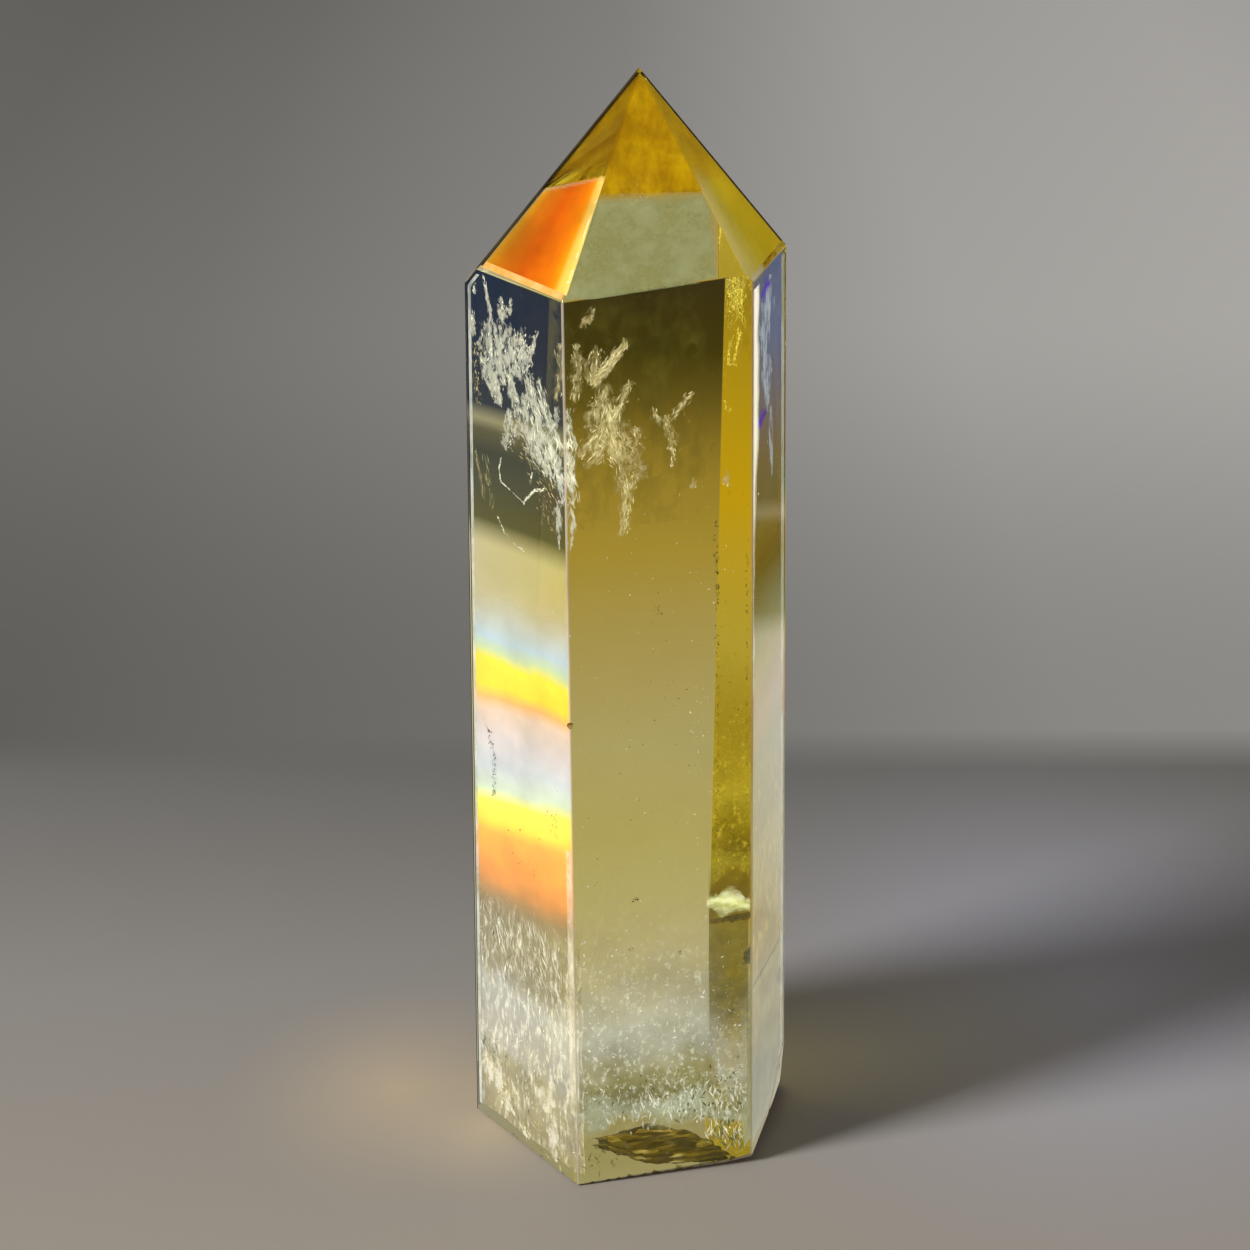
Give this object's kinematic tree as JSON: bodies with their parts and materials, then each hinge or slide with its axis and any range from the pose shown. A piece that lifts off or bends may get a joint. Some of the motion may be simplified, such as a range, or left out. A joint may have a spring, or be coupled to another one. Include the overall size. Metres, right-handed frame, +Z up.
{
  "type": "citrine crystal point",
  "caption": "Free-standing polished citrine point: a clear golden six-sided quartz prism on a flat base, closed by sloping facets that meet in one tip, with white veils sealed inside.",
  "frame": {"origin": "centre of the flat base on the surface it stands on, midway across the crystal's extents in X and Y", "axes": "+Z up along the crystal to its tip, -Y the way the broad front side faces, +X to the right of the front side"},
  "size_m": [0.0262, 0.0216, 0.09],
  "materials": {
    "citrine": "clear golden quartz, polished to a gloss, deeper amber at the tip and paler at the foot, with white veils and feathers inside"
  },
  "bodies": {
    "root": {"citrine_point": "citrine"}
  },
  "joints": []
}
